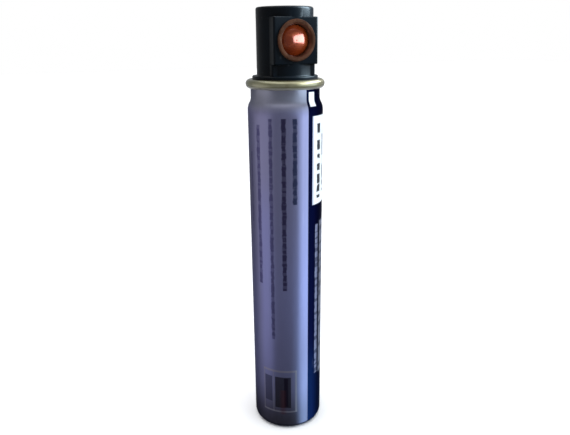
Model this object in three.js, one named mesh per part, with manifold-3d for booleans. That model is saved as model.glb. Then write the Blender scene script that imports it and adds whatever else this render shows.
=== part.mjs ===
// A slim fuel canister: an aluminium can, a crimped valve cup and a clipped-on metering head.
// Millimetres, +Z up. The can stands on z = 0 with its axis on x = y = 0, and the outlet faces -Y.

import * as THREE from "three";
import { mergeVertices } from "three/addons/utils/BufferGeometryUtils.js";
import Module from "manifold-3d";

const wasm = await Module();
wasm.setup();

// Roundness of the revolved pieces
const CAN_SIDES = 40;
const HEAD_SIDES = 40;
const OUTLET_SIDES = 36;
const SMALL_SIDES = 20;

// Can
const CAN_RADIUS = 15;
const CAN_STRAIGHT = 140.6; // height at which the wall starts to turn in
const BASE_CORNER = 2.6;
const STAND_WIDTH = 1.1; // flat ring that the can stands on
const DOME_DEPTH = 3.8;
const DOME_EDGE = 1.4; // inner fillet between the standing ring and the dome
const SHOULDER_CURVE = 6;
const NECK_CURVE = 4;
const NECK_STEP = 1.35; // how far the neck is in from the body
const NECK_STRAIGHT = 3.2; // from the end of the shoulder to the underside of the rim bead
const NECK_WALL = 0.65;
const RIM_BEAD = 1.2; // section radius of the rolled rim

// Valve cup, pressed from sheet
const SHEET = 0.4;
const CUP_FIT = 0.1; // clearance between cup and can
const CUP_GASKET = 0.8;
const CURL_DROP = 1.85; // how far the curl's skirt reaches below the centre of its crown
const CHANNEL_DEPTH = 7.6;
const CRIMP_BELOW_CROWN = 3.7;
const CRIMP_CURVE = 0.9;
const CHANNEL_FILLET = 0.9;
const PEDESTAL_RADIUS = 5.6;
const PEDESTAL_BELOW_RIM = 1.5;

// Stem of the can's own valve
const STEM_RADIUS = 2;
const STEM_BORE = 0.6;
const STEM_RISE = 6.5; // above the pedestal
const STEM_SINK = 2.2; // below the stem gasket
const STEM_GASKET = 1;
const STEM_FIT = 0.05;
const STEM_HOLE_GAP = 0.3;
const SEAT_GAP = 0.05;

// Metering head, a black moulding
const HEAD_RADIUS = 11;
const HEAD_HEIGHT = 26.2; // from the top of the curl to the top of the head
const HEAD_EDGE = 0.9;
const FLANGE_OVERLAP = 0.75; // how far the flange reaches out over the curl
const FLANGE_THICKNESS = 1.5;
const FLANGE_EDGE = 0.3;
const SKIRT_FIT = 0.15;
const SKIRT_WALL = 1.3;
const SKIRT_LIFT = 1.3; // above the floor of the cup's channel
const SNAP_REACH = 0.25;
const SKIRT_SLOTS = 6;
const SLOT_WIDTH = 1.6;
const SLOT_BELOW_FLANGE = 1.4;
const SOCKET_WALL = 2.2;
const SOCKET_GAP = 0.3;
const SOCKET_FIT = 0.25;
const SOCKET_HEADROOM = 0.6;
const INLET_SEAL_WIDTH = 1.1;
const INLET_SEAL_LENGTH = 1.6;

// Outlet block on the front of the head
const BLOCK_REACH = 11; // front face, from the can's axis
const BLOCK_HALF_WIDTH = 8.95;
const BLOCK_BOTTOM = 5.6; // above the top of the curl
const BLOCK_TOP = 22.5;
const BLOCK_CORNER = 0.7;
const BLOCK_CHAMFER = 0.35;
const LOWER_REACH = 8.7; // the narrower step under the block
const OUTLET_HEIGHT = 14.2; // axis of the outlet, above the top of the curl
const OUTLET_BORE = 6.5;

// Outlet ring and what it holds, as depths behind the front face of the block
const RING_RADIUS = 7.5;
const RING_PROUD = 0.95;
const RING_RIDGE = 1.5; // width of the ridge
const RING_LAND = 0.4; // flat crest that a fuel port seals on
const RING_SPIGOT = 4.2;
const RING_WALL = 0.65;
const BORE_FIT = 0.1;
const PLUNGER_GAP = 0.3;
const DOME_TIP = -0.4; // a little proud of the block, and behind the crest of the ring
const DOME_CROWN = 1.9;
const COLLAR_GAP = 0.3; // at rest the collar stands this far behind the ring
const COLLAR_THICKNESS = 1.2;
const COLLAR_OVERLAP = 0.5;
const SHAFT_RADIUS = 1.7;
const SHAFT_LENGTH = 8.1;
const SHAFT_BORE = 0.45;
const PORT_RADIUS = 0.4;
const SPRING_LENGTH = 4;
const SPRING_RADIUS = 4.2; // centre of the wire
const SPRING_WIRE = 0.28;
const SPRING_TURNS = 3;
const SEAL_LENGTH = 1.1;
const SEAL_WIDTH = 1.6;
const SLEEVE_WEB = 0.6;
const CHAMBER_RADIUS = 3.6;
const CHAMBER_LENGTH = 4.7;
const END_SEAL_WIDTH = 0.9;
const INLET_OFFSET = 1.4; // of the feed hole behind the can's axis
const FEED_RADIUS = 0.7;
const RUNNING_FIT = 0.05;

// Heights and radii that follow from those above
const neckRadius = CAN_RADIUS - NECK_STEP;
const neckInner = neckRadius - NECK_WALL;
const shoulderAngle = Math.acos(1 - NECK_STEP / (SHOULDER_CURVE + NECK_CURVE));
const neckStart = CAN_STRAIGHT + (SHOULDER_CURVE + NECK_CURVE) * Math.sin(shoulderAngle);
const beadCentre = CAN_RADIUS - RIM_BEAD;
const beadHeight = neckStart + NECK_STRAIGHT + RIM_BEAD;
const mouthRadius = beadCentre - RIM_BEAD;

const crownInner = RIM_BEAD + CUP_FIT;
const crownOuter = crownInner + SHEET;
const crownHeight = beadHeight + CUP_GASKET;
const curlTop = crownHeight + crownOuter;
const cupInner = beadCentre - crownOuter;
const crimpHeight = crownHeight - CRIMP_BELOW_CROWN;
const crimpInner = neckInner - CUP_FIT - SHEET;
const channelFloor = curlTop - CHANNEL_DEPTH;
const pedestalTop = curlTop - PEDESTAL_BELOW_RIM;
const stemGasketTop = pedestalTop - SHEET - SEAT_GAP;
const stemGasketBottom = stemGasketTop - STEM_GASKET;
const stemTop = pedestalTop + STEM_RISE;
const stemBottom = stemGasketBottom - STEM_SINK;

const flangeRadius = cupInner + FLANGE_OVERLAP;
const flangeBottom =
  crownHeight + Math.sqrt(crownOuter ** 2 - (beadCentre - flangeRadius) ** 2) + SEAT_GAP;
const flangeTop = flangeBottom + FLANGE_THICKNESS;
const skirtRadius = cupInner - SKIRT_FIT;
const skirtBottom = channelFloor + SKIRT_LIFT;
const headTop = curlTop + HEAD_HEIGHT;
const socketRadius = STEM_RADIUS + SOCKET_FIT;
const socketTop = stemTop + SOCKET_HEADROOM;
const inletSealBottom = pedestalTop + SEAT_GAP;

const outletHeight = curlTop + OUTLET_HEIGHT;
const ringInner = OUTLET_BORE - BORE_FIT - RING_WALL;
const domeRadius = ringInner - PLUNGER_GAP;
const domeBack = DOME_TIP + DOME_CROWN;
const collarFront = RING_SPIGOT + COLLAR_GAP;
const collarBack = collarFront + COLLAR_THICKNESS;
const collarRadius = ringInner + COLLAR_OVERLAP;
const shaftEnd = collarBack + SHAFT_LENGTH;
const sleeveFront = collarBack + SPRING_LENGTH + 2 * SEAT_GAP;
const webFront = sleeveFront + SEAL_LENGTH + SEAT_GAP;
const chamberFront = webFront + SLEEVE_WEB;
const chamberBack = chamberFront + CHAMBER_LENGTH;
const sleeveBack = chamberBack + SEAL_LENGTH + SEAT_GAP;
const outletDepth = sleeveBack + BORE_FIT;
const sealOuter = SHAFT_RADIUS + SEAL_WIDTH;

// A round stretch of a profile: points on a circle from one angle to another, in degrees
function arc(r, h, radius, from, to, steps = 6) {
  return Array.from({ length: steps + 1 }, (_, i) => {
    const angle = THREE.MathUtils.degToRad(from + ((to - from) * i) / steps);
    return [r + radius * Math.cos(angle), h + radius * Math.sin(angle)];
  });
}

// Revolves a profile of [radius, height] about +Y. The profile runs anticlockwise,
// and one that doesn't start on the axis is closed on itself.
function turnedAboutY(profile, sides) {
  const points = profile.map(([r, h]) => new THREE.Vector2(Math.max(r, 0), h));
  if (points[0].x > 0) points.push(points[0].clone());
  return new THREE.LatheGeometry(points, sides);
}

function turnedAboutZ(profile, sides) {
  return turnedAboutY(profile, sides).rotateX(Math.PI / 2);
}

function cylinder(radius, from, to) {
  return [
    [0, from],
    [radius, from],
    [radius, to],
    [0, to],
  ];
}

function washer(inner, outer, from, to) {
  return [
    [inner, from],
    [outer, from],
    [outer, to],
    [inner, to],
  ];
}

// Joining and cutting
function solid(geometry) {
  const bare = geometry.index ? geometry.toNonIndexed() : geometry.clone();
  bare.deleteAttribute("normal");
  bare.deleteAttribute("uv");
  const merged = mergeVertices(bare, 1e-4);
  return new wasm.Manifold(
    new wasm.Mesh({
      numProp: 3,
      vertProperties: merged.attributes.position.array,
      triVerts: new Uint32Array(merged.index.array),
    }),
  );
}

function geometryOf(made) {
  const mesh = made.getMesh();
  const geometry = new THREE.BufferGeometry();
  geometry.setAttribute("position", new THREE.BufferAttribute(mesh.vertProperties, 3));
  geometry.setIndex(new THREE.BufferAttribute(mesh.triVerts, 1));
  geometry.computeVertexNormals();
  return geometry;
}

// Can: one impact-extruded cup with its neck necked in and its rim rolled. It is filled, because
// it is sealed. The inside of the mouth is open down to where the valve cup sits.
function canBody() {
  const standOuter = CAN_RADIUS - BASE_CORNER;
  const standInner = standOuter - STAND_WIDTH;
  const domeEdgeRadius = standInner - DOME_EDGE;
  const domeRise = DOME_DEPTH - DOME_EDGE;
  const domeSphere = (domeEdgeRadius ** 2 + domeRise ** 2) / (2 * domeRise);
  const domeAngle = THREE.MathUtils.radToDeg(Math.asin(domeEdgeRadius / domeSphere));
  const turn = THREE.MathUtils.radToDeg(shoulderAngle);
  const neckCentre = neckRadius + NECK_CURVE;
  const beadStart = -90 - THREE.MathUtils.radToDeg(Math.asin((beadCentre - neckRadius) / RIM_BEAD));
  const floor = channelFloor - SHEET - CUP_FIT;
  const plug = PEDESTAL_RADIUS - SHEET - CUP_FIT;
  const plugTop = stemGasketBottom - SEAT_GAP;
  const stemHole = STEM_RADIUS + RUNNING_FIT;
  return turnedAboutZ(
    [
      ...arc(0, DOME_DEPTH - domeSphere, domeSphere, 90, 90 - domeAngle, 4),
      ...arc(standInner, DOME_EDGE, DOME_EDGE, 180, 270, 2),
      ...arc(standOuter, BASE_CORNER, BASE_CORNER, -90, 0, 4),
      ...arc(CAN_RADIUS - SHOULDER_CURVE, CAN_STRAIGHT, SHOULDER_CURVE, 0, turn, 3),
      ...arc(neckCentre, neckStart, NECK_CURVE, 180 + turn, 180, 2).slice(1),
      ...arc(beadCentre, beadHeight, RIM_BEAD, beadStart, 180, 8),
      [mouthRadius, beadHeight - RIM_BEAD / 2],
      [neckInner, beadHeight - RIM_BEAD],
      [neckInner, floor + CHANNEL_FILLET],
      [neckInner - CHANNEL_FILLET, floor],
      [plug, floor],
      [plug, plugTop],
      [stemHole, plugTop],
      [stemHole, stemBottom - SEAT_GAP],
      [0, stemBottom - SEAT_GAP],
    ],
    CAN_SIDES,
  );
}

// Rubber ring squeezed between the rolled rim and the crown of the cup
function cupGasket() {
  const outer = crownInner - SEAT_GAP;
  const inner = RIM_BEAD + SEAT_GAP;
  const start = THREE.MathUtils.radToDeg(Math.acos(outer / inner));
  return turnedAboutZ(
    [
      ...arc(beadCentre, beadHeight, inner, 180 - start, start, 5),
      ...arc(beadCentre, crownHeight, outer, 0, 180, 5),
    ],
    CAN_SIDES,
  );
}

// Valve cup: a curl over the rim, a wall crimped outwards under it, a channel and a pedestal
function valveCup() {
  const crimpOuter = crimpInner + SHEET;
  const wallOuter = cupInner + SHEET;
  const floorBelow = channelFloor - SHEET;
  const pedestalInner = PEDESTAL_RADIUS - SHEET;
  const stemHole = STEM_RADIUS + STEM_HOLE_GAP;
  const crimpTop = crimpHeight + CRIMP_CURVE;
  const crimpBottom = crimpHeight - CRIMP_CURVE;
  const channelOuter = crimpInner - CHANNEL_FILLET;
  const half = CRIMP_CURVE / 2;
  return turnedAboutZ(
    [
      [stemHole, pedestalTop - SHEET],
      [pedestalInner, pedestalTop - SHEET],
      [pedestalInner, floorBelow],
      ...arc(channelOuter, channelFloor + CHANNEL_FILLET, CHANNEL_FILLET + SHEET, -90, 0, 2),
      [crimpOuter, crimpHeight + half],
      [wallOuter, crimpTop + half],
      ...arc(beadCentre, crownHeight, crownInner, 180, 0, 6),
      [beadCentre + crownInner, crownHeight - CURL_DROP],
      [beadCentre + crownOuter, crownHeight - CURL_DROP],
      ...arc(beadCentre, crownHeight, crownOuter, 0, 180, 8),
      [cupInner, crimpTop + half],
      [crimpInner, crimpHeight + half],
      [crimpInner, crimpBottom],
      ...arc(channelOuter, channelFloor + CHANNEL_FILLET, CHANNEL_FILLET, 0, -90, 2),
      [PEDESTAL_RADIUS, channelFloor],
      [PEDESTAL_RADIUS, pedestalTop - SHEET],
      [PEDESTAL_RADIUS - SHEET, pedestalTop],
      [stemHole, pedestalTop],
    ],
    CAN_SIDES,
  );
}

function stemGasket() {
  const outer = PEDESTAL_RADIUS - SHEET - CUP_FIT;
  return turnedAboutZ(
    washer(STEM_RADIUS + STEM_FIT, outer, stemGasketBottom, stemGasketTop),
    SMALL_SIDES,
  );
}

// Stem of the can's valve: a tube with a closed foot and one side port at the gasket
function canValveStem() {
  const portHeight = (stemGasketBottom + stemGasketTop) / 2;
  const tube = turnedAboutZ(
    [
      [0, stemBottom],
      [STEM_RADIUS, stemBottom],
      [STEM_RADIUS, stemTop - STEM_BORE / 2],
      [STEM_RADIUS - STEM_BORE / 2, stemTop],
      [STEM_BORE, stemTop],
      [STEM_BORE, portHeight - PORT_RADIUS],
      [0, portHeight - PORT_RADIUS],
    ],
    SMALL_SIDES,
  );
  const port = turnedAboutY(cylinder(PORT_RADIUS, 0, 2 * STEM_RADIUS), 12);
  port.translate(0, 0, portHeight);
  return geometryOf(solid(tube).subtract(solid(port)));
}

// Outline of the front block, seen from above, from the can's axis to the front face
function blockOutline(reach, halfWidth, corner) {
  const shape = new THREE.Shape();
  shape.moveTo(-halfWidth, 0);
  shape.lineTo(-halfWidth, -reach + corner);
  shape.absarc(-halfWidth + corner, -reach + corner, corner, Math.PI, 1.5 * Math.PI, false);
  shape.lineTo(halfWidth - corner, -reach);
  shape.absarc(halfWidth - corner, -reach + corner, corner, 1.5 * Math.PI, 2 * Math.PI, false);
  shape.lineTo(halfWidth, 0);
  shape.closePath();
  return shape;
}

function block(reach, bottom, top) {
  const inset = BLOCK_CHAMFER;
  const outline = blockOutline(reach - inset, BLOCK_HALF_WIDTH - inset, BLOCK_CORNER - inset);
  const made = new THREE.ExtrudeGeometry(outline, {
    depth: top - bottom - 2 * inset,
    curveSegments: 4,
    bevelEnabled: true,
    bevelThickness: inset,
    bevelSize: inset,
    bevelSegments: 1,
  });
  return made.translate(0, 0, bottom + inset);
}

// Head moulding: a capped cylinder with a flange, a slotted snap skirt that clips into the cup's
// crimp, a socket for the can's stem and a flat-faced block with the outlet bore
function valveHousing() {
  const skirtInner = skirtRadius - SKIRT_WALL;
  const snapRadius = skirtRadius + SNAP_REACH;
  const socketOuter = socketRadius + SOCKET_WALL;
  const socketBottom = pedestalTop + SOCKET_GAP;
  const sealSeat = socketRadius + INLET_SEAL_WIDTH;
  const sealTop = inletSealBottom + INLET_SEAL_LENGTH + SEAT_GAP;
  const shell = turnedAboutZ(
    [
      [0, socketBottom],
      [socketOuter, socketBottom],
      [socketOuter, flangeBottom],
      [skirtInner, flangeBottom],
      [skirtInner, skirtBottom],
      [skirtRadius - SNAP_REACH, skirtBottom],
      [snapRadius, crimpHeight - SNAP_REACH],
      [snapRadius, crimpHeight + SNAP_REACH],
      [skirtRadius, crimpHeight + 3 * SNAP_REACH],
      [skirtRadius, flangeBottom],
      [flangeRadius - FLANGE_EDGE, flangeBottom],
      [flangeRadius, flangeBottom + FLANGE_EDGE],
      [flangeRadius, flangeTop - FLANGE_EDGE],
      [flangeRadius - FLANGE_EDGE, flangeTop],
      [HEAD_RADIUS + FLANGE_EDGE, flangeTop],
      [HEAD_RADIUS, flangeTop + FLANGE_EDGE],
      ...arc(HEAD_RADIUS - HEAD_EDGE, headTop - HEAD_EDGE, HEAD_EDGE, 0, 90, 4),
      [0, headTop],
    ],
    HEAD_SIDES,
  );
  let made = solid(shell)
    .add(solid(block(BLOCK_REACH, curlTop + BLOCK_BOTTOM, curlTop + BLOCK_TOP)))
    .add(solid(block(LOWER_REACH, flangeTop - BLOCK_CHAMFER, curlTop + BLOCK_BOTTOM + BLOCK_CORNER)));

  const slotTop = flangeBottom - SLOT_BELOW_FLANGE;
  const slotDepth = snapRadius + SNAP_REACH;
  for (let i = 0; i < SKIRT_SLOTS; i++) {
    const slot = new THREE.BoxGeometry(SLOT_WIDTH, slotDepth / 2, 2 * (slotTop - skirtBottom));
    slot.translate(0, slotDepth * 0.75, skirtBottom);
    slot.rotateZ(((i + 0.5) * 2 * Math.PI) / SKIRT_SLOTS);
    made = made.subtract(solid(slot));
  }

  const socket = turnedAboutZ(
    [
      [0, socketBottom - SOCKET_GAP],
      [sealSeat, socketBottom - SOCKET_GAP],
      [sealSeat, sealTop],
      [socketRadius, sealTop],
      [socketRadius, socketTop],
      [0, socketTop],
    ],
    SMALL_SIDES,
  );
  // The face round the bore is cut flat for the ring, also where the head bulges past the block
  const seat = turnedAboutY(cylinder(RING_RADIUS + BORE_FIT, -HEAD_RADIUS, 0), OUTLET_SIDES);
  const bore = turnedAboutY(cylinder(OUTLET_BORE, -HEAD_RADIUS, outletDepth), OUTLET_SIDES);
  for (const cut of [seat, bore]) cut.translate(0, -BLOCK_REACH, outletHeight);
  const feed = turnedAboutZ(cylinder(FEED_RADIUS, socketTop - FEED_RADIUS, outletHeight), 12);
  feed.translate(0, INLET_OFFSET, 0);
  const cuts = [socket, seat, bore, feed];
  return geometryOf(cuts.reduce((body, cut) => body.subtract(solid(cut)), made));
}

function inletSeal() {
  const outer = socketRadius + INLET_SEAL_WIDTH - SEAT_GAP;
  const top = inletSealBottom + INLET_SEAL_LENGTH;
  return turnedAboutZ(washer(STEM_RADIUS + STEM_FIT, outer, inletSealBottom, top), SMALL_SIDES);
}

// Outlet ring: a ridge that stands proud of the block, on a spigot pressed into the bore. Its
// mouth narrows behind the ridge and guides the dome of the plunger.
function outletRing() {
  const edge = (RING_RIDGE - RING_LAND) / 2;
  const crest = edge - RING_PROUD;
  const spigot = OUTLET_BORE - BORE_FIT;
  return turnedAboutY(
    [
      [ringInner, RING_RIDGE / 2],
      ...arc(RING_RADIUS - RING_RIDGE + edge, crest, edge, 180, 270, 4),
      ...arc(RING_RADIUS - edge, crest, edge, 270, 360, 4),
      [RING_RADIUS, 0],
      [spigot, 0],
      [spigot, RING_SPIGOT],
      [ringInner, RING_SPIGOT],
    ],
    OUTLET_SIDES,
  );
}

// Plunger: a domed head with a fine outlet hole, a collar that stops behind the ring, and a shaft
// whose side port is inside the front seal at rest and reaches the chamber when pressed in
function outletPlunger() {
  const sphere = (domeRadius ** 2 + DOME_CROWN ** 2) / (2 * DOME_CROWN);
  const edge = THREE.MathUtils.radToDeg(Math.asin(domeRadius / sphere));
  const hole = THREE.MathUtils.radToDeg(Math.asin(SHAFT_BORE / sphere));
  const portDepth = sleeveFront + SEAL_LENGTH / 2;
  const tip = SHAFT_BORE / 2;
  const turned = turnedAboutY(
    [
      [0, portDepth + PORT_RADIUS],
      [SHAFT_BORE, portDepth + PORT_RADIUS],
      ...arc(0, DOME_TIP + sphere, sphere, hole - 90, edge - 90, 5),
      [domeRadius, domeBack],
      [domeRadius, collarFront],
      [collarRadius, collarFront],
      [collarRadius, collarBack],
      [SHAFT_RADIUS, collarBack],
      [SHAFT_RADIUS, shaftEnd - tip],
      [SHAFT_RADIUS - tip, shaftEnd],
      [0, shaftEnd],
    ],
    OUTLET_SIDES,
  );
  const port = turnedAboutZ(cylinder(PORT_RADIUS, 0, 2 * SHAFT_RADIUS), 12);
  port.translate(0, portDepth, 0);
  return geometryOf(solid(turned).subtract(solid(port)));
}

// Return spring between the collar and the sleeve
class Helix extends THREE.Curve {
  getPoint(t, target = new THREE.Vector3()) {
    const angle = 2 * Math.PI * SPRING_TURNS * t;
    const length = SPRING_LENGTH - 2 * SPRING_WIRE - 2 * SEAT_GAP;
    return target.set(SPRING_RADIUS * Math.cos(angle), length * t, SPRING_RADIUS * Math.sin(angle));
  }
}

function plungerSpring() {
  const section = new THREE.Shape();
  section.absarc(0, 0, SPRING_WIRE, 0, 2 * Math.PI, false);
  const made = new THREE.ExtrudeGeometry(section, {
    steps: Math.round(SPRING_TURNS * 16),
    curveSegments: 3,
    bevelEnabled: false,
    extrudePath: new Helix(),
  });
  return made.translate(0, collarBack + SPRING_WIRE + 2 * SEAT_GAP, 0);
}

function shaftSeal() {
  const inner = SHAFT_RADIUS + RUNNING_FIT;
  return turnedAboutY(
    washer(inner, sealOuter, sleeveFront, sleeveFront + SEAL_LENGTH),
    SMALL_SIDES,
  );
}

// Sleeve: holds both seals, and the metering chamber is the space inside it
function meteringSleeve() {
  const outer = OUTLET_BORE - BORE_FIT;
  const frontSeat = sealOuter + SEAT_GAP;
  const rearSeat = CHAMBER_RADIUS + END_SEAL_WIDTH;
  const turned = turnedAboutY(
    [
      [frontSeat, sleeveFront],
      [outer, sleeveFront],
      [outer, sleeveBack],
      [rearSeat, sleeveBack],
      [rearSeat, chamberBack],
      [CHAMBER_RADIUS, chamberBack],
      [CHAMBER_RADIUS, chamberFront],
      [SHAFT_RADIUS + 2 * RUNNING_FIT, chamberFront],
      [SHAFT_RADIUS + 2 * RUNNING_FIT, webFront],
      [frontSeat, webFront],
    ],
    OUTLET_SIDES,
  );
  const feed = turnedAboutZ(cylinder(FEED_RADIUS, -2 * outer, 0), 12);
  feed.translate(0, BLOCK_REACH + INLET_OFFSET, 0);
  return geometryOf(solid(turned).subtract(solid(feed)));
}

function chamberSeal() {
  const outer = CHAMBER_RADIUS + END_SEAL_WIDTH - SEAT_GAP;
  const from = chamberBack + SEAT_GAP;
  return turnedAboutY(washer(SHAFT_BORE, outer, from, from + SEAL_LENGTH - SEAT_GAP), SMALL_SIDES);
}

function material(color, roughness, metalness) {
  return new THREE.MeshStandardMaterial({ color, roughness, metalness });
}

function piece(name, geometry, made) {
  const mesh = new THREE.Mesh(geometry, made);
  mesh.name = name;
  return mesh;
}

const printedCan = material(0x7d80a6, 0.35, 0.6);
const lacquer = material(0xb5b394, 0.35, 0.7);
const rubber = material(0x1d1d1f, 0.8, 0);
const stemPlastic = material(0xdedbd0, 0.5, 0);
const blackPlastic = material(0x10161b, 0.4, 0);
const ringBronze = material(0x8a6a50, 0.45, 0.4);
const copper = material(0x8a3f1c, 0.2, 0.6);
const springSteel = material(0xb8bcc2, 0.3, 1);
const sleevePlastic = material(0xe4e2da, 0.45, 0);

const canister = new THREE.Group();
canister.name = "fuel_canister";

canister.add(
  piece("can_body", canBody(), printedCan),
  piece("cup_gasket", cupGasket(), rubber),
  piece("valve_cup", valveCup(), lacquer),
  piece("stem_gasket", stemGasket(), rubber),
  piece("can_valve_stem", canValveStem(), stemPlastic),
  piece("valve_housing", valveHousing(), blackPlastic),
  piece("inlet_seal", inletSeal(), rubber),
);

// The outlet stack is modelled along its own axis, with depths from the front of the block
const outlet = new THREE.Group();
outlet.position.set(0, -BLOCK_REACH, outletHeight);
outlet.add(
  piece("outlet_ring", outletRing(), ringBronze),
  piece("outlet_plunger", outletPlunger(), copper),
  piece("plunger_spring", plungerSpring(), springSteel),
  piece("shaft_seal", shaftSeal(), rubber),
  piece("metering_sleeve", meteringSleeve(), sleevePlastic),
  piece("chamber_seal", chamberSeal(), rubber),
);
canister.add(outlet);

export default canister;
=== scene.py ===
"""Looks for the fuel canister: smooth skins, printed can, lacquered cup, black head and outlet."""

import math

import bmesh
import bpy
from mathutils import Matrix, Vector


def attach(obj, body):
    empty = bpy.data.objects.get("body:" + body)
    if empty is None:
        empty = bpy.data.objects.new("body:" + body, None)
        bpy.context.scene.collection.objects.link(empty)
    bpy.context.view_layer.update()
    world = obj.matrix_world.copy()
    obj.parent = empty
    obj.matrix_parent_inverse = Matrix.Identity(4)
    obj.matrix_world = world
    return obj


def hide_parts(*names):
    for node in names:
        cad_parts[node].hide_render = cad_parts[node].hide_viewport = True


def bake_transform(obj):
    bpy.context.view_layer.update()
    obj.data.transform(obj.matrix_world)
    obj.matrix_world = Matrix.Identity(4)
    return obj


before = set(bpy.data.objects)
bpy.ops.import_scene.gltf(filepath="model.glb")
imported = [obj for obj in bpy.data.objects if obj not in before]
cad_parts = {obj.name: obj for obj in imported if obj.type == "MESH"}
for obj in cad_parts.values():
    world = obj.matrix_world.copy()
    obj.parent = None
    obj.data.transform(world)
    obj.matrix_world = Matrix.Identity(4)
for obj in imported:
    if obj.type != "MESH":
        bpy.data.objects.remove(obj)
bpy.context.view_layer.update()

MM = 0.001
IMAGE_WIDTH = 570
SHARP_ANGLE = 32

# Sizes in millimetres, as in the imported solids
CLEARANCE = 0.05
CAN_RADIUS = 15
CAN_STRAIGHT = 140.6
FOOT_ROUNDING = 2.6
STAND_WIDTH = 1.1
STAND_ROUNDING = 1.4
BASE_HEIGHT = 3.8
BASE_RISE = 2.4
SHOULDER_STEP = 1.35
SHOULDER_OUTER = 6
SHOULDER_INNER = 4
SHOULDER_ANGLE = math.acos(1 - SHOULDER_STEP / (SHOULDER_OUTER + SHOULDER_INNER))
NECK_RADIUS = CAN_RADIUS - SHOULDER_STEP
NECK_START = CAN_STRAIGHT + (SHOULDER_OUTER + SHOULDER_INNER) * math.sin(SHOULDER_ANGLE)
BEAD_RADIUS = 1.05
BEAD_CENTRE = 13.8
BEAD_HEIGHT = NECK_START + 4.4
CURL_RADIUS = 1.7
LIP_DROP = 1.85
CROWN_HEIGHT = BEAD_HEIGHT + 0.8
CURL_TOP = CROWN_HEIGHT + CURL_RADIUS
CUP_SHEET = 0.4
CUP_WALL = 12.5
CRIMP = CROWN_HEIGHT - 3.7
CHANNEL_FLOOR = CURL_TOP - 7.6
CHANNEL_ROUNDING = 0.9
PEDESTAL_INNER = 5.2
PEDESTAL_OUTER = 5.6
PEDESTAL_TOP = CURL_TOP - 1.5
CUP_HOLE = 2.3
MOUTH_RADIUS = 13
MOUTH_FLOOR = CHANNEL_FLOOR - 0.5
STEM_PEDESTAL = 5.1
STEM_HOLE = 2.05
STEM_GASKET = 1
STEM_SINK_TOP = PEDESTAL_TOP - CUP_SHEET - CLEARANCE - STEM_GASKET
STEM_SINK_DEPTH = 2.25
FLANGE_RADIUS = 12.85
FLANGE_GAP = math.sqrt(CURL_RADIUS**2 - (BEAD_CENTRE - FLANGE_RADIUS) ** 2)
FLANGE_BOTTOM = CROWN_HEIGHT + FLANGE_GAP + CLEARANCE
FLANGE_TOP = FLANGE_BOTTOM + 1.5
SOCKET_RADIUS = 4.45
SOCKET_BORE = 2.25
SOCKET_FOOT = PEDESTAL_TOP + 0.3
SOCKET_END = PEDESTAL_TOP + 7.1
SEAL_RADIUS = 3.35
SEAL_TOP = PEDESTAL_TOP + 1.6 + 2 * CLEARANCE
SKIRT_RADIUS = 11.95
SKIRT_INNER = 10.65
SKIRT_SNAP = 12.2
SKIRT_TIP = 11.7
SKIRT_BOTTOM = CHANNEL_FLOOR + 1.3
HEAD_RADIUS = 11
HEAD_TOP = CURL_TOP + 26.2
HEAD_ROUNDING = 0.9
BLOCK_REACH = 11
BLOCK_HALF = 8.95
BLOCK_CORNER = 0.7
BLOCK_BOTTOM = CURL_TOP + 5.6
BLOCK_TOP = CURL_TOP + 22.5
LOWER_REACH = 8.7
OUTLET_HEIGHT = CURL_TOP + 14.2
OUTLET_DEPTH = 17.5
OUTLET_BORE = 6.5
RING_OUTER = 7.5
RING_INNER = 5.75
RING_SPIGOT = 6.4
RING_ROUNDING = 0.55
CREST_WIDTH = 0.4
CREST_DEPTH = -0.4
DOME_RADIUS = 5.45
DOME_RISE = 1.9
DOME_FRONT = -0.4
PLUNGER_HOLE = 0.22
PLUNGER_DUCT = 0.45
PLUNGER_COLLAR = 6.25
PLUNGER_SHAFT = 1.7
COLLAR_FRONT = 4.5
COLLAR_BACK = 5.7
DUCT_END = 10.8
SHAFT_END = 13.8
SPRING_FRONT = -4.92
SPRING_BACK = -1.58
SPRING_TURNS = 3
SPRING_RADIUS = 4.2
SPRING_WIRE = 0.28

# Panels: first and last angle in degrees, bottom and top height in millimetres
# The first is a painted highlight on the shoulder, and the others are panels of the print
SHOULDER_HIGHLIGHT = (18, 31, 142.7, 148)
WHITE_PANEL = (21.6, 76, 103.7, 139)
BACK_PANEL = (98, 150, 62, 128)

# The camera's turn round the object from straight in front of the outlet, in degrees
CAMERA_TURN = -23


# Outlines and meshes


def arc(x, y, radius, start, end, steps):
    """Points on a circle between two angles in degrees."""
    turns = [math.radians(start + (end - start) * i / steps) for i in range(steps + 1)]
    return [(x + radius * math.cos(t), y + radius * math.sin(t)) for t in turns]


def rounded(corners, steps):
    """The open line through corners (x, y) or (x, y, rounding), with those corners rounded."""
    line = []
    for i, corner in enumerate(corners):
        here = Vector(corner[:2])
        if len(corner) == 2:
            line.append(tuple(here))
            continue
        before = (Vector(corners[i - 1][:2]) - here).normalized()
        after = (Vector(corners[i + 1][:2]) - here).normalized()
        half = before.angle(after) / 2
        centre = here + (before + after).normalized() * (corner[2] / math.sin(half))
        first = here + before * (corner[2] / math.tan(half)) - centre
        last = here + after * (corner[2] / math.tan(half)) - centre
        start = math.atan2(first.y, first.x)
        turn = (math.atan2(last.y, last.x) - start + math.pi) % (2 * math.pi) - math.pi
        line += arc(*centre, corner[2], math.degrees(start), math.degrees(start + turn), steps)
    return line


def mesh_object(name, bm):
    """A smooth-shaded object from bm, with its sharp edges kept."""
    bmesh.ops.remove_doubles(bm, verts=bm.verts, dist=1e-7)
    bmesh.ops.recalc_face_normals(bm, faces=bm.faces)
    mesh = bpy.data.meshes.new(name)
    bm.to_mesh(mesh)
    bm.free()
    for face in mesh.polygons:
        face.use_smooth = True
    mesh.set_sharp_from_angle(angle=math.radians(SHARP_ANGLE))
    made = bpy.data.objects.new(name, mesh)
    bpy.context.scene.collection.objects.link(made)
    return made


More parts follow.
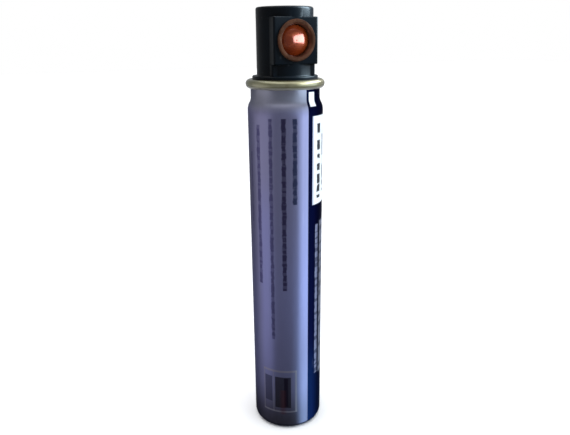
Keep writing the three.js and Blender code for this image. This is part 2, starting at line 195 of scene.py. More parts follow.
def skin(name, rings):
    """A closed body through rings of points. A ring of one point closes an end."""
    bm = bmesh.new()
    rows = [[bm.verts.new(Vector(p) * MM) for p in ring] for ring in rings]
    closed = len(rows[0]) > 1
    for low, high in zip(rows, rows[1:] + rows[:1] if closed else rows[1:]):
        count = max(len(low), len(high))
        for i in range(count):
            j = (i + 1) % count
            corners = [
                low[i % len(low)],
                low[j % len(low)],
                high[j % len(high)],
                high[i % len(high)],
            ]
            bm.faces.new(list(dict.fromkeys(corners)))
    return mesh_object(name, bm)


def lathe(name, profile, sides=128, outlet=False):
    """Revolves (radius, height) points about +Z, or (radius, depth) points about the outlet."""
    turns = [2 * math.pi * i / sides for i in range(sides)]

    def point(r, h, t):
        if outlet:
            return (r * math.cos(t), h - BLOCK_REACH, OUTLET_HEIGHT + r * math.sin(t))
        return (r * math.cos(t), r * math.sin(t), h)

    rings = [[point(r, h, t) for t in turns] if r > 0 else [point(0, h, 0)] for r, h in profile]
    return skin(name, rings)


def cut(target, tool):
    """Takes the tool's shape out of the target's mesh."""
    modifier = target.modifiers.new("cut", "BOOLEAN")
    modifier.operation = "DIFFERENCE"
    modifier.solver = "EXACT"
    modifier.object = tool
    graph = bpy.context.evaluated_depsgraph_get()
    made = bpy.data.meshes.new_from_object(target.evaluated_get(graph))
    target.modifiers.clear()
    target.data = made
    made.set_sharp_from_angle(angle=math.radians(SHARP_ANGLE))
    bpy.data.objects.remove(tool)


# Materials


class Paint:
    """One node material. Each method adds nodes and returns their output."""

    def __init__(self, name, **constants):
        self.material = bpy.data.materials.new(name)
        self.material.use_nodes = True
        self.tree = self.material.node_tree
        self.shader = self.tree.nodes["Principled BSDF"]
        for key, value in constants.items():
            self.shader.inputs[key.replace("_", " ")].default_value = value
        self.place = self.tree.nodes.new("ShaderNodeTexCoord").outputs["Object"]

    def node(self, kind, values, **settings):
        made = self.tree.nodes.new(kind)
        for key, value in settings.items():
            setattr(made, key, value)
        for key, value in values.items():
            if isinstance(value, bpy.types.NodeSocket):
                self.tree.links.new(value, made.inputs[key])
            else:
                made.inputs[key].default_value = value
        return made

    def math(self, operation, a, b=0.0, c=0.0):
        return self.node("ShaderNodeMath", {0: a, 1: b, 2: c}, operation=operation).outputs[0]

    def mix(self, factor, a, b):
        """A colour between a and b. Sockets 6, 7 and 2 are the node's colours."""
        values = {"Factor": factor, 6: a, 7: b}
        return self.node("ShaderNodeMix", values, data_type="RGBA").outputs[2]

    def ramp(self, value, low, high, to_low=0.0, to_high=1.0):
        """Goes smoothly from to_low to to_high as the value goes from low to high."""
        values = {0: value, 1: low, 2: high, 3: to_low, 4: to_high}
        made = self.node("ShaderNodeMapRange", values, interpolation_type="SMOOTHSTEP")
        return made.outputs[0]

    def clouded(self, cloud, light, dark):
        """Two close tones that pass softly into each other."""
        return self.mix(self.ramp(cloud, 0.35, 0.65), light, dark)

    def noise(self, scale, detail=2.0, stretch=(1, 1, 1), shift=0.0):
        values = {"Vector": self.place, "Scale": stretch, "Location": (shift, 0, 0)}
        vector = self.node("ShaderNodeMapping", values).outputs[0]
        values = {"Vector": vector, "Scale": scale, "Detail": detail}
        return self.node("ShaderNodeTexNoise", values).outputs["Fac"]

    def band(self, value, low, high, soft):
        """1 where the value is between low and high, and 0 elsewhere, with soft edges."""
        up = self.ramp(value, low - soft, low + soft)
        down = self.ramp(value, high - soft, high + soft, 1.0, 0.0)
        return self.math("MULTIPLY", up, down)

    def bump(self, height, strength, distance):
        values = {"Height": height, "Strength": strength, "Distance": distance}
        normal = self.node("ShaderNodeBump", values).outputs[0]
        self.tree.links.new(normal, self.shader.inputs["Normal"])

    def finish(self, colour, roughness, metallic=None):
        self.tree.links.new(colour, self.shader.inputs["Base Color"])
        self.tree.links.new(roughness, self.shader.inputs["Roughness"])
        if metallic is not None:
            self.tree.links.new(metallic, self.shader.inputs["Metallic"])
        return self.material


def rgb(red, green, blue):
    return (red, green, blue, 1.0)


def plain(name, light, dark, roughness, scale, relief=0.2, **constants):
    """A moulded or turned surface: two close tones, uneven gloss and a fine grain."""
    p = Paint(name, **constants)
    cloud = p.noise(scale, 4.0)
    grain = p.noise(scale * 14, 2.0, shift=3.0)
    rough = p.ramp(cloud, 0.3, 0.7, roughness - 0.05, roughness + 0.07)
    p.bump(grain, relief, 0.00004)
    return p.finish(p.clouded(cloud, light, dark), rough)


class Print(Paint):
    """The can's paint, placed by height and by the angle from the outlet towards +X."""

    def __init__(self, name, **constants):
        super().__init__(name, **constants)
        split = self.node("ShaderNodeSeparateXYZ", {0: self.place}).outputs
        front = self.math("MULTIPLY", split[1], -1.0)
        around = self.math("ARCTAN2", split[0], front)
        self.angle = self.math("MULTIPLY", around, 180 / math.pi)
        self.height = self.math("MULTIPLY", split[2], 1 / MM)
        self.cloud = self.noise(28, 3.0, (1, 1, 0.35))
        self.ragged = self.noise(750, 2.0, (1, 1, 0.6), shift=13.0)
        offset = self.math("SUBTRACT", self.angle, 1.8)
        self.wavy = self.math("MULTIPLY_ADD", self.ragged, 3.6, offset)

    def panel(self, low, high, bottom, top, soft=0.5):
        """1 inside a rectangle of the print."""
        across = self.band(self.angle, low, high, soft)
        return self.math("MULTIPLY", across, self.band(self.height, bottom, top, 0.15))

    def field(self, colour, low, high, bottom, top, tone, strength=1.0, soft=0.5):
        """A rectangle of one tone over the colour."""
        mask = self.panel(low, high, bottom, top, soft)
        return self.mix(self.math("MULTIPLY", mask, strength), colour, tone)

    def dashes(self, colour, middle, width, bottom, top, tone, strength, pitch, seed, gap=0.74):
        """A column of ragged dashes. Between them, gap is what is left of their strength."""
        along = self.math("MULTIPLY_ADD", self.height, 1 / pitch, seed)
        values = {"W": along, "Scale": 1.0, "Detail": 1.0}
        row = self.node("ShaderNodeTexNoise", values, noise_dimensions="1D").outputs["Fac"]
        column = self.band(self.wavy, middle - width / 2, middle + width / 2, 1.0)
        inside = self.math("MULTIPLY", column, self.band(self.height, bottom, top, 0.2))
        uneven = self.math("MULTIPLY_ADD", self.ragged, 0.3, row)
        broken = self.ramp(uneven, 0.54, 0.66, gap, 1.0)
        mask = self.math("MULTIPLY", self.math("MULTIPLY", inside, broken), strength)
        return self.mix(mask, colour, tone)


def silver_ground(p):
    """Silver-lavender, more violet below, barer on the shoulder, with a painted dark reflection at
    the foot.
    """
    silver = p.clouded(p.cloud, rgb(0.18, 0.178, 0.3), rgb(0.15, 0.142, 0.22))
    violet = p.clouded(p.cloud, rgb(0.18, 0.185, 0.35), rgb(0.15, 0.15, 0.265))
    silver = p.mix(p.ramp(p.height, 60, 125, 1.0, 0.0), silver, violet)
    bare = p.clouded(p.cloud, rgb(0.2, 0.205, 0.265), rgb(0.15, 0.148, 0.165))
    colour = p.mix(p.ramp(p.height, 139.5, 144.5), silver, bare)
    # Painted dark reflection: darker towards the bottom, full on the left and half as strong under
    # the highlight
    low = p.ramp(p.height, 3.0, 24.0, 0.8, 0.0)
    foot = p.math("MULTIPLY", low, p.ramp(p.angle, -14, 2, 1.0, 0.5))
    colour = p.mix(foot, colour, rgb(0.04, 0.036, 0.042))
    stripe = p.math("MULTIPLY", p.band(p.angle, -68, -44, 8.0), p.band(p.height, 26, 108, 14.0))
    return p.mix(p.math("MULTIPLY", stripe, 0.6), colour, rgb(0.205, 0.215, 0.45))


def silver_print(p, colour):
    """Columns of dashes on the silver side, and a framed group of dark fields at the foot."""
    purple = rgb(0.03, 0.026, 0.09)
    # Middle and width in degrees, bottom and top in mm, tone, strength, pitch in mm and seed
    for column in (
        (-86, 4, 96, 125, purple, 0.4, 2.1, 3.0),
        (-68, 6.5, 70, 136, purple, 0.75, 2.4, 17.0),
        (-46, 5.5, 45, 138.6, purple, 0.75, 2.6, 31.0),
        (-26, 6.5, 68, 138.7, rgb(0.012, 0.007, 0.042), 0.86, 2.2, 47.0),
        (-9.3, 6.5, 105, 138.6, rgb(0.008, 0.016, 0.055), 0.85, 2.5, 61.0),
        (-121, 4.5, 62, 134, purple, 0.7, 2.2, 77.0),
        (-140, 4.5, 84, 134, purple, 0.7, 2.5, 89.0),
    ):
        colour = p.dashes(colour, *column)
    line = rgb(0.27, 0.26, 0.33)
    # First and last angle in degrees, bottom and top in mm, tone, strength and softness
    for part in (
        (-67, -7, 28.9, 29.9, line, 0.7),
        (-67, -7, 8.5, 9.3, line, 0.6),
        (-10.5, -7, 8.8, 29.5, line, 0.7),
        (-67, -64.5, 8.8, 29.5, line, 0.4),
        (-48.5, -46.5, 8.8, 29.5, line, 0.35),
        (-64, -50, 13.6, 26.5, rgb(0.035, 0.037, 0.075), 0.7),
        (-44.6, -17.5, 10.9, 26.5, rgb(0.02, 0.018, 0.026), 0.85),
        (-29, -22.3, 11.5, 26, rgb(0.006, 0.003, 0.014), 0.7, 1.2),
        (-35, -27, 7.5, 20, rgb(0.1, 0.028, 0.035), 0.4, 4.0),
    ):
        colour = p.field(colour, *part)
    return colour


def navy_print(p, colour):
    """The navy side, with its white and pale panels, pale columns and a painted highlight on the
    shoulder.
    """
    navy = p.clouded(p.cloud, rgb(0.0003, 0.001, 0.012), rgb(0.001, 0.0026, 0.02))
    navy = p.mix(p.ramp(p.height, 24, 46, 1.0, 0.0), navy, rgb(0.002, 0.0075, 0.034))
    colour = p.mix(p.band(p.angle, 13, 168, 0.35), colour, navy)
    # The shoulder's white patch is a painted highlight, and the white panel under it is print
    for panel in (SHOULDER_HIGHLIGHT, WHITE_PANEL):
        colour = p.field(colour, *panel, rgb(0.72, 0.73, 0.77))
    colour = p.field(colour, 21.6, 24.5, 103.7, 139, rgb(0.3, 0.3, 0.42), 0.8)
    # As on the silver side, and last how strong the gaps are
    for column in (
        (37, 10, 106, 136, rgb(0.004, 0.004, 0.01), 0.97, 3.4, 5.0, 0.1),
        (53, 9, 108, 134, rgb(0.05, 0.05, 0.09), 0.7, 4.1, 23.0, 0.15),
        (33, 7.5, 25, 95, rgb(0.24, 0.245, 0.37), 0.85, 2.3, 37.0, 0.4),
        (51, 18, 24, 96, rgb(0.42, 0.43, 0.54), 0.9, 3.6, 53.0, 0.5),
    ):
        colour = p.dashes(colour, *column)
    colour = p.field(colour, 38.5, 42.5, 22, 84, rgb(0.002, 0.002, 0.01), 0.6)
    colour = p.field(colour, *BACK_PANEL, rgb(0.42, 0.43, 0.55), 0.95)
    for i in range(5):
        colour = p.dashes(colour, 104 + 10 * i, 4, 66, 124, navy, 0.8, 2.4, 70.0 + 9 * i)
    return colour


def printed_can():
    """Satin lacquer on aluminium, printed all round, with a rubbed foot and fine scratches."""
    p = Print("can_print", Specular_IOR_Level=0.12, Specular_Tint=rgb(0.45, 0.45, 0.52))
    fine = p.noise(260, 3.0, shift=2.0)
    brushed = p.noise(900, 2.0, (1, 1, 0.02), shift=5.0)
    colour = navy_print(p, silver_print(p, silver_ground(p)))
    rub = p.math("MULTIPLY", p.ramp(fine, 0.62, 0.7), p.ramp(p.height, 3.5, 1.0, 0.0, 0.4))
    colour = p.mix(rub, colour, rgb(0.4, 0.4, 0.43))
    scratch = p.ramp(p.noise(420, 2.0, (1, 1, 0.12), shift=9.0), 0.7, 0.76, 0.0, 0.07)
    colour = p.mix(scratch, colour, rgb(0.34, 0.34, 0.42))
    rough = p.ramp(p.cloud, 0.3, 0.7, 0.3, 0.37)
    rough = p.math("ADD", rough, p.ramp(brushed, 0.3, 0.7, 0.0, 0.06))
    rough = p.math("MULTIPLY_ADD", p.band(p.height, 140, 147, 1.5), 0.16, rough)
    relief = p.math("ADD", p.math("MULTIPLY", p.cloud, 1.6), p.math("MULTIPLY", fine, 0.15))
    p.bump(relief, 0.25, 0.0002)

    # The opaque white and pale ink panels and the shoulder's painted highlight are far less
    # metallic
    metallic = 0.92
    for panel in (SHOULDER_HIGHLIGHT, WHITE_PANEL, BACK_PANEL):
        less = p.math("MULTIPLY_ADD", p.panel(*panel), -0.8, 1.0)
        metallic = p.math("MULTIPLY", metallic, less)
    return p.finish(colour, rough, metallic)


def lacquered_cup():
    """Olive-cream lacquer with drawing lines round it, small dark marks and a painted highlight on
    its lower part.
    """
    p = Paint("cup_lacquer", Metallic=0.7, Coat_Weight=0.5, Coat_Roughness=0.15)
    cloud = p.noise(60, 4.0, (1, 1, 2.5))
    lines = p.noise(30, 2.0, (1, 1, 60), shift=4.0)
    stain = p.ramp(p.noise(170, 3.0, (1, 1, 1.6), shift=8.0), 0.56, 0.68, 0.0, 0.6)
    colour = p.clouded(cloud, rgb(0.2, 0.192, 0.12), rgb(0.13, 0.126, 0.066))
    colour = p.mix(p.ramp(lines, 0.55, 0.7, 0.0, 0.35), colour, rgb(0.31, 0.3, 0.24))
    colour = p.mix(stain, colour, rgb(0.12, 0.11, 0.06))
    height = p.node("ShaderNodeSeparateXYZ", {0: p.place}).outputs[2]
    # Painted highlight: the lower part of the curl and the cup below it are paler
    hem = (CROWN_HEIGHT - 0.9) * MM
    below = p.ramp(height, hem - 0.0003, hem + 0.0003, 0.5, 0.0)
    colour = p.mix(below, colour, rgb(0.6, 0.58, 0.57))
    rough = p.ramp(cloud, 0.3, 0.7, 0.26, 0.4)
    p.bump(p.math("ADD", lines, p.math("MULTIPLY", cloud, 0.5)), 0.25, 0.00008)
    return p.finish(colour, rough)


def head_plastic():
    """Satin blue-black moulding with faint flow marks and pale rubbed specks."""
    p = Paint("head_plastic", Specular_IOR_Level=0.1)
    cloud = p.noise(55, 4.0)
    grain = p.noise(1500, 2.0, shift=6.0)
    flow = p.noise(45, 3.0, (1, 1, 0.15), shift=2.5)
    specks = p.ramp(p.noise(700, 2.0, shift=11.0), 0.69, 0.74, 0.0, 0.3)
    colour = p.clouded(cloud, rgb(0.0012, 0.0028, 0.0046), rgb(0.0008, 0.0012, 0.0022))
    colour = p.mix(p.ramp(flow, 0.5, 0.7, 0.0, 0.3), colour, rgb(0.003, 0.0048, 0.007))
    colour = p.mix(specks, colour, rgb(0.03, 0.035, 0.04))
    rough = p.math("ADD", p.ramp(cloud, 0.3, 0.7, 0.28, 0.36), p.ramp(flow, 0.4, 0.7, 0.0, 0.05))
    p.bump(grain, 0.2, 0.00003)
    return p.finish(colour, rough)


def ring_tan():
    """Tan-brown ring with fine turning lines round the outlet."""
    p = Paint("ring_tan", Metallic=0.3, Specular_IOR_Level=0.08)
    cloud = p.noise(180, 4.0)
    turned = p.noise(500, 2.0, (1, 3, 1), shift=3.0)
    colour = p.clouded(cloud, rgb(0.085, 0.034, 0.018), rgb(0.05, 0.02, 0.011))
    colour = p.mix(p.ramp(turned, 0.55, 0.7, 0.0, 0.4), colour, rgb(0.14, 0.075, 0.045))
    rough = p.ramp(cloud, 0.3, 0.7, 0.34, 0.48)
    p.bump(turned, 0.2, 0.00004)
    return p.finish(colour, rough)


def plunger_amber():
    """Polished copper-brown dome with darker swirls."""
    p = Paint(
        "plunger_amber",
        Metallic=0.55,
        Coat_Weight=0.5,
        Coat_Roughness=0.17,
        Specular_IOR_Level=0.1,
    )
    cloud = p.noise(140, 4.0)
    swirl = p.noise(320, 3.0, (1, 1, 2), shift=7.0)
    colour = p.clouded(cloud, rgb(0.092, 0.016, 0.003), rgb(0.058, 0.0075, 0.001))
    colour = p.mix(p.ramp(swirl, 0.55, 0.7, 0.0, 0.5), colour, rgb(0.11, 0.025, 0.006))
    rough = p.ramp(swirl, 0.3, 0.7, 0.16, 0.3)
    p.bump(cloud, 0.04, 0.0001)
    return p.finish(colour, rough)


# Can: the printed shell, with the mouth that the cup sits in

stand_outer = CAN_RADIUS - FOOT_ROUNDING
base_edge = stand_outer - STAND_WIDTH - STAND_ROUNDING
base_sphere = (base_edge**2 + BASE_RISE**2) / (2 * BASE_RISE)
base_turn = math.degrees(math.asin(base_edge / base_sphere))
turn = math.degrees(SHOULDER_ANGLE)
can = lathe(
    "can_skin",
    [
        (0, BASE_HEIGHT),
        *arc(0, BASE_HEIGHT - base_sphere, base_sphere, 90, 90 - base_turn, 12)[1:],
        *arc(stand_outer - STAND_WIDTH, STAND_ROUNDING, STAND_ROUNDING, 180, 270, 6),
        *arc(stand_outer, FOOT_ROUNDING, FOOT_ROUNDING, -90, 0, 12),
        *[(CAN_RADIUS, h) for h in range(10, 140, 10)],
        *arc(CAN_RADIUS - SHOULDER_OUTER, CAN_STRAIGHT, SHOULDER_OUTER, 0, turn, 8),
        *arc(NECK_RADIUS + SHOULDER_INNER, NECK_START, SHOULDER_INNER, 180 + turn, 180, 8)[1:],
        (NECK_RADIUS, BEAD_HEIGHT - 1.2),
        *arc(BEAD_CENTRE, BEAD_HEIGHT, BEAD_RADIUS, -98, 180, 16),
        (BEAD_CENTRE - 1.2, BEAD_HEIGHT - 0.6),
        (MOUTH_RADIUS, BEAD_HEIGHT - 1.2),
        (MOUTH_RADIUS, MOUTH_FLOOR + 0.9),
        (MOUTH_RADIUS - 0.9, MOUTH_FLOOR),
        (STEM_PEDESTAL, MOUTH_FLOOR),
        (STEM_PEDESTAL, STEM_SINK_TOP - CLEARANCE),
        (STEM_HOLE, STEM_SINK_TOP - CLEARANCE),
        (STEM_HOLE, STEM_SINK_TOP - STEM_SINK_DEPTH),
        (0, STEM_SINK_TOP - STEM_SINK_DEPTH),
    ],
    sides=160,
)
can.data.materials.append(printed_can())
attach(can, "canister")
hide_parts("can_body")

# Valve cup: curl, crimped wall, channel and pedestal, all of one sheet

channel = (CUP_WALL - CHANNEL_ROUNDING, CHANNEL_FLOOR + CHANNEL_ROUNDING)
lip = arc(0, 0, 1, -76, -4, 12)
cup = lathe(
    "cup_skin",
    [
        (CUP_HOLE, PEDESTAL_TOP - CUP_SHEET),
        (PEDESTAL_INNER, PEDESTAL_TOP - CUP_SHEET),
        (PEDESTAL_INNER, CHANNEL_FLOOR - CUP_SHEET),
        *arc(*channel, CHANNEL_ROUNDING + CUP_SHEET, -90, 0, 6),
        (CUP_WALL + CUP_SHEET, CRIMP + 0.45),
        (CUP_WALL, CRIMP + 1.35),
        *arc(BEAD_CENTRE, CROWN_HEIGHT, CURL_RADIUS - CUP_SHEET, 180, 0, 14),
        (BEAD_CENTRE + 1.2, CROWN_HEIGHT - 0.6),
        (BEAD_CENTRE + 1.0, CROWN_HEIGHT - 1.3),
        (BEAD_CENTRE + 0.4, CROWN_HEIGHT - 1.78),
        *[(BEAD_CENTRE + CURL_RADIUS * x, CROWN_HEIGHT + LIP_DROP * y) for x, y in lip],
        *arc(BEAD_CENTRE, CROWN_HEIGHT, CURL_RADIUS, 0, 180, 20),
        (CUP_WALL - CUP_SHEET, CRIMP + 1.35),
        (CUP_WALL, CRIMP + 0.45),
        (CUP_WALL, CRIMP - 0.9),
        *arc(*channel, CHANNEL_ROUNDING, 0, -90, 6),
        (PEDESTAL_OUTER, CHANNEL_FLOOR),
        (PEDESTAL_OUTER, PEDESTAL_TOP - 0.4),
        (PEDESTAL_OUTER - 0.1, PEDESTAL_TOP - 0.1),
        (PEDESTAL_INNER, PEDESTAL_TOP),
        (CUP_HOLE, PEDESTAL_TOP),
    ],
    sides=144,
)
cup.data.materials.append(lacquered_cup())
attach(cup, "canister")
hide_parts("valve_cup")

# Head: rings that follow the round body where it is round and the block where it stands out


def block_line(reach, half):
    """The block's outline from above, with rounded front corners."""
    corner = BLOCK_CORNER
    line = rounded([(half, 0), (half, -reach, corner), (-half, -reach, corner), (-half, 0)], 6)
    return [Vector(p) for p in line]


def reach_at(line, angle):
    """How far the line is from the axis, in a direction given from -Y towards +X."""
    ray = Vector((math.sin(angle), -math.cos(angle)))
    found = 0
    for p, q in zip(line, line[1:]):
        a = p.cross(ray)
        b = q.cross(ray)
        if a * b <= 0 and a != b:
            found = max(found, p.lerp(q, a / (a - b)).dot(ray))
    return found


# Every 2.5 degrees, and every half degree where the block's sides and corners are
head_angles = sorted(
    {round(i * 2.5, 3) for i in range(-72, 72)}
    | {round(side * (33 + i * 0.5), 3) for i in range(50) for side in (-1, 1)}
)


def head_ring(height, radius, block=None):
    """One ring of the head: a circle, or the block's outline where that reaches further."""
    ring = []
    for degrees in head_angles:
        angle = math.radians(degrees)
        reach = max(radius, reach_at(block, angle)) if block else radius
        ring.append((reach * math.sin(angle), -reach * math.cos(angle), height))
    return ring


under = rounded(
    [
        (SOCKET_BORE, SOCKET_END),
        (SOCKET_BORE, SEAL_TOP),
        (SEAL_RADIUS, SEAL_TOP),
        (SEAL_RADIUS, SOCKET_FOOT),
        (SOCKET_RADIUS, SOCKET_FOOT, 0.2),
        (SOCKET_RADIUS, FLANGE_BOTTOM, 0.3),
        (SKIRT_INNER, FLANGE_BOTTOM, 0.3),
        (SKIRT_INNER, SKIRT_BOTTOM),
        (SKIRT_TIP, SKIRT_BOTTOM),
        (SKIRT_SNAP, CRIMP - 0.25, 0.1),
        (SKIRT_SNAP, CRIMP + 0.25, 0.1),
        (SKIRT_RADIUS, CRIMP + 0.75),
        (SKIRT_RADIUS, FLANGE_BOTTOM),
        (FLANGE_RADIUS, FLANGE_BOTTOM, 0.3),
        (FLANGE_RADIUS, FLANGE_TOP, 0.35),
        (HEAD_RADIUS, FLANGE_TOP, 0.35),
        (HEAD_RADIUS, FLANGE_TOP + 1),
    ],
    4,
)
lower = block_line(LOWER_REACH, BLOCK_HALF)
rings = [[(0, 0, SOCKET_END)]]
for r, h in under[:-1]:
    above_flange = h > FLANGE_TOP - 0.01 and r < 12
    rings.append(head_ring(h, r, lower if above_flange else None))
rings.append(head_ring(BLOCK_BOTTOM - 0.25, HEAD_RADIUS, lower))
rings.append(head_ring(BLOCK_BOTTOM, HEAD_RADIUS, block_line(LOWER_REACH + 0.25, BLOCK_HALF)))

# The block's rounded lower and upper edges
for rise, inset in ((0, 0.4), (0.05, 0.2), (0.2, 0.05), (0.4, 0)):
    outline = block_line(BLOCK_REACH - inset, BLOCK_HALF - inset / 2)
    rings.append(head_ring(BLOCK_BOTTOM + rise, HEAD_RADIUS, outline))
for drop, inset in ((0.4, 0), (0.2, 0.05), (0.05, 0.2), (0, 0.4)):
    outline = block_line(BLOCK_REACH - inset, BLOCK_HALF - inset)
    rings.append(head_ring(BLOCK_TOP - drop, HEAD_RADIUS - (0.02 if not inset else 0), outline))
rings.append(head_ring(BLOCK_TOP, HEAD_RADIUS))
rim_arc = arc(HEAD_RADIUS - HEAD_ROUNDING, HEAD_TOP - HEAD_ROUNDING, HEAD_ROUNDING, 0, 90, 8)
rings += [head_ring(h, r) for r, h in rim_arc]
rings.append([(0, 0, HEAD_TOP)])
head = skin("head_skin", rings)
bore = [(0, -6), (OUTLET_BORE, -6), (OUTLET_BORE, OUTLET_DEPTH), (0, OUTLET_DEPTH)]
cut(head, lathe("outlet_bore", bore, outlet=True))
head.data.materials.clear()
head.data.materials.append(head_plastic())
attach(head, "canister")
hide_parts("valve_housing")

# Outlet ring and plunger

crest = RING_OUTER - RING_ROUNDING
ring = lathe(
    "outlet_ring_skin",
    [
        (RING_INNER, 0.75),
        *arc(crest - CREST_WIDTH, CREST_DEPTH, RING_ROUNDING, 180, 270, 8),
        *arc(crest, CREST_DEPTH, RING_ROUNDING, 270, 360, 8),
        (RING_OUTER, 0),
        (RING_SPIGOT, 0),
        (RING_SPIGOT, 4.2),
        (RING_INNER, 4.2),
    ],
    outlet=True,
)
ring.data.materials.append(ring_tan())
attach(ring, "canister")
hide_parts("outlet_ring")

dome = (DOME_RADIUS**2 + DOME_RISE**2) / (2 * DOME_RISE)
dome_turn = math.degrees(math.asin(DOME_RADIUS / dome))
hole_turn = math.degrees(math.asin(PLUNGER_HOLE / dome))
plunger = lathe(
    "plunger_skin",
    [
        (0, DUCT_END),
        (PLUNGER_DUCT, DUCT_END),
        (PLUNGER_DUCT, 0.9),
        (PLUNGER_HOLE, 0.5),
        *arc(0, dome + DOME_FRONT, dome, hole_turn - 90, dome_turn - 90, 16),
        (DOME_RADIUS, 1.6),
        (DOME_RADIUS, COLLAR_FRONT),
        (PLUNGER_COLLAR - 0.1, COLLAR_FRONT),
        (PLUNGER_COLLAR, COLLAR_FRONT + 0.1),
        (PLUNGER_COLLAR, COLLAR_BACK - 0.1),
        (PLUNGER_COLLAR - 0.1, COLLAR_BACK),
        (PLUNGER_SHAFT, COLLAR_BACK),
        (PLUNGER_SHAFT, SHAFT_END - 0.23),
        (PLUNGER_SHAFT - 0.23, SHAFT_END),
        (0, SHAFT_END),
    ],
    outlet=True,
)
plunger.data.materials.append(plunger_amber())
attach(plunger, "plunger")
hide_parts("outlet_plunger")

# Return spring of round wire, coiled round the outlet's axis

TURN_STEPS = 48
WIRE_SIDES = 16
steps = SPRING_TURNS * TURN_STEPS
wire = arc(0, 0, SPRING_WIRE, 0, 360 - 360 / WIRE_SIDES, WIRE_SIDES - 1)
coil = []
for i in range(steps + 1):
    a = math.radians(360 / TURN_STEPS * i)
    out = Vector((math.cos(a), 0, math.sin(a)))
    along = SPRING_FRONT + (SPRING_BACK - SPRING_FRONT) * i / steps
    middle = Vector((0, along, OUTLET_HEIGHT)) + SPRING_RADIUS * out
    coil.append([middle + out * x + Vector((0, y, 0)) for x, y in wire])
    if i == 0:
        coil.insert(0, [middle])
coil.append([middle])
spring = skin("spring_skin", coil)

# Pieces inside, carried over from the solids with better finishes

rubber = plain("black_rubber", rgb(0.02, 0.02, 0.022), rgb(0.012, 0.012, 0.013), 0.72, 120, 0.4)
natural = plain("natural_plastic", rgb(0.72, 0.7, 0.62), rgb(0.62, 0.6, 0.52), 0.42, 90)
bright = rgb(0.62, 0.62, 0.64)
steel = plain("spring_steel", bright, rgb(0.46, 0.46, 0.48), 0.25, 300, Metallic=1.0)
spring.data.materials.append(steel)
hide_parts("plunger_spring")
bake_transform(spring)
for name, material in (
    ("cup_gasket", rubber),
    ("stem_gasket", rubber),
    ("inlet_seal", rubber),
    ("shaft_seal", rubber),
    ("chamber_seal", rubber),
    ("can_valve_stem", natural),
    ("metering_sleeve", natural),
):
    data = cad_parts[name].data
    data.materials.clear()
    data.materials.append(material)

# Floor

FLOOR_GAP = 0.00002


def pale_floor():
    """A large sheet of pale paper just under the can. It isn't part of the object."""
    bm = bmesh.new()
    bmesh.ops.create_grid(bm, x_segments=8, y_segments=8, size=3)
    made = mesh_object("floor", bm)
    made.location.z = -FLOOR_GAP
    p = Paint("floor_paper")
    cloud = p.noise(6, 3.0)
    p.bump(p.noise(900, 2.0), 0.05, 0.0001)
    colour = p.mix(cloud, rgb(0.86, 0.86, 0.87), rgb(0.9, 0.9, 0.9))
    made.data.materials.append(p.finish(colour, p.ramp(cloud, 0.3, 0.7, 0.85, 0.95)))
    made.visible_glossy = False
    return made


floor = pale_floor()

# Camera, as fitted to the photograph

FOCAL_PIXELS = 556.01
SENSOR_WIDTH = 36
CAMERA_ANGLES = (-0.133, 17.874, 0.535, CAMERA_TURN)
CAMERA_PLACE = (0, -0.22434, 0.1675)
camera_data = bpy.data.cameras.new("camera")
camera_data.sensor_width = SENSOR_WIDTH
camera_data.lens = FOCAL_PIXELS / IMAGE_WIDTH * SENSOR_WIDTH
camera_data.clip_start = 0.01
camera = bpy.data.objects.new("camera", camera_data)
bpy.context.scene.collection.objects.link(camera)
yaw, pitch, roll, round_z = (math.radians(a) for a in CAMERA_ANGLES)
forward = Vector(
    (math.sin(yaw) * math.cos(pitch), math.cos(yaw) * math.cos(pitch), -math.sin(pitch))
)
right = Vector((math.cos(yaw), -math.sin(yaw), 0))
up = right.cross(forward)
across = math.cos(roll) * right - math.sin(roll) * up
above = math.sin(roll) * right + math.cos(roll) * up
axes = Matrix((across, above, -forward)).transposed().to_4x4()
place = Matrix.Translation(CAMERA_PLACE)
camera.matrix_world = Matrix.Rotation(round_z, 4, "Z") @ place @ axes
bpy.context.scene.camera = camera
bpy.context.scene.view_settings.view_transform = "Standard"

# Light: a soft key from the right, a weak fill from the left, a broad one above, a pale room


def soft_light(
    name, azimuth, elevation, size, radiance, colour, aim, lit, blocking=None, distance=0.6
):
    """A soft panel that lights only the pieces lit, and is shaded only by those blocking it.

    Azimuth is to the right of the camera's side of the object, and aim is a height on its axis.
    """
    width, height = size
    data = bpy.data.lights.new(name, "AREA")
    data.shape = "RECTANGLE"
    data.size = width
    data.size_y = height
    data.energy = radiance * math.pi * width * height
    data.color = colour
    made = bpy.data.objects.new(name, data)
    round_z = math.radians(azimuth + CAMERA_TURN)
    rise = math.radians(elevation)
    away = Vector(
        (math.sin(round_z) * math.cos(rise), -math.cos(round_z) * math.cos(rise), math.sin(rise))
    )
    made.location = Vector((0, 0, aim)) + away * distance
    made.rotation_euler = away.to_track_quat("Z", "Y").to_euler()
    bpy.context.scene.collection.objects.link(made)
    groups = {"receiver_collection": lit}
    if blocking:
        groups["blocker_collection"] = blocking
    for slot, pieces in groups.items():
        group = bpy.data.collections.new(name + "_" + slot)
        for piece in pieces:
            group.objects.link(piece)
        setattr(made.light_linking, slot, group)


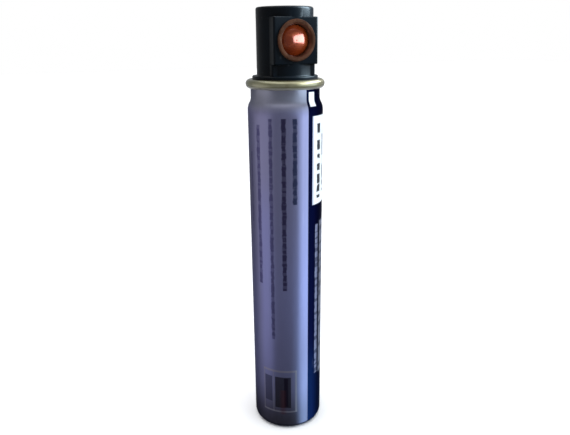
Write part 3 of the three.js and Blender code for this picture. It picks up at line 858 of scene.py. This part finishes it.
# The low parts of the key continue the can's highlight, and the next three reach one piece each
for light in (
    ("key", 74, 8, (0.72, 0.5), 2.7, (0.78, 0.93, 1.0), 0.12, [can, cup, ring, floor]),
    ("low_key", 74, 0, (0.72, 0.42), 2.7, (0.72, 0.92, 1.0), -0.26, [can], [head, cup]),
    ("foot_key", 74, 0, (0.72, 0.3), 5.5, (0.56, 0.9, 1.0), -0.62, [can], [head, cup]),
    ("glint", 70, 6, (0.95, 0.34), 26.0, (0.95, 0.9, 1.0), 0.167, [plunger]),
    ("kicker", 95, 29, (0.5, 0.5), 38.0, (0.66, 0.86, 1.0), 0.17, [head]),
    ("rim", 97, 38, (0.95, 0.3), 12.0, (1.0, 1.0, 1.0), 0.15, [cup]),
    ("fill", -78, -4, (0.8, 0.9), 0.65, (1.0, 0.97, 0.98), 0.1, [can, cup, floor], None, 0.7),
):
    soft_light(*light)

overhead = bpy.data.lights.new("overhead", "SUN")
overhead.energy = 3.2
overhead.angle = math.radians(80)
overhead.specular_factor = 0.7
bpy.context.scene.collection.objects.link(bpy.data.objects.new("overhead", overhead))

# The room that lights the object is dim below, and the camera sees a plain pale backdrop
world = bpy.data.worlds.new("world")
world.use_nodes = True
bpy.context.scene.world = world
nodes = world.node_tree.nodes
links = world.node_tree.links
pale = nodes["Background"]
pale.inputs["Color"].default_value = rgb(1, 1, 1)
pale.inputs["Strength"].default_value = 1.0
room = nodes.new("ShaderNodeBackground")
room.inputs["Color"].default_value = rgb(0.92, 0.95, 1.0)
direction = nodes.new("ShaderNodeTexCoord")
split = nodes.new("ShaderNodeSeparateXYZ")
links.new(direction.outputs["Generated"], split.inputs[0])
dusk = nodes.new("ShaderNodeMapRange")
for end, value in (("From Min", -0.6), ("From Max", -0.47), ("To Min", 0.04), ("To Max", 0.4)):
    dusk.inputs[end].default_value = value
links.new(split.outputs["Z"], dusk.inputs["Value"])
links.new(dusk.outputs[0], room.inputs["Strength"])
seen = nodes.new("ShaderNodeLightPath")
blend = nodes.new("ShaderNodeMixShader")
links.new(seen.outputs["Is Camera Ray"], blend.inputs[0])
links.new(room.outputs[0], blend.inputs[1])
links.new(pale.outputs[0], blend.inputs[2])
links.new(blend.outputs[0], nodes["World Output"].inputs[0])
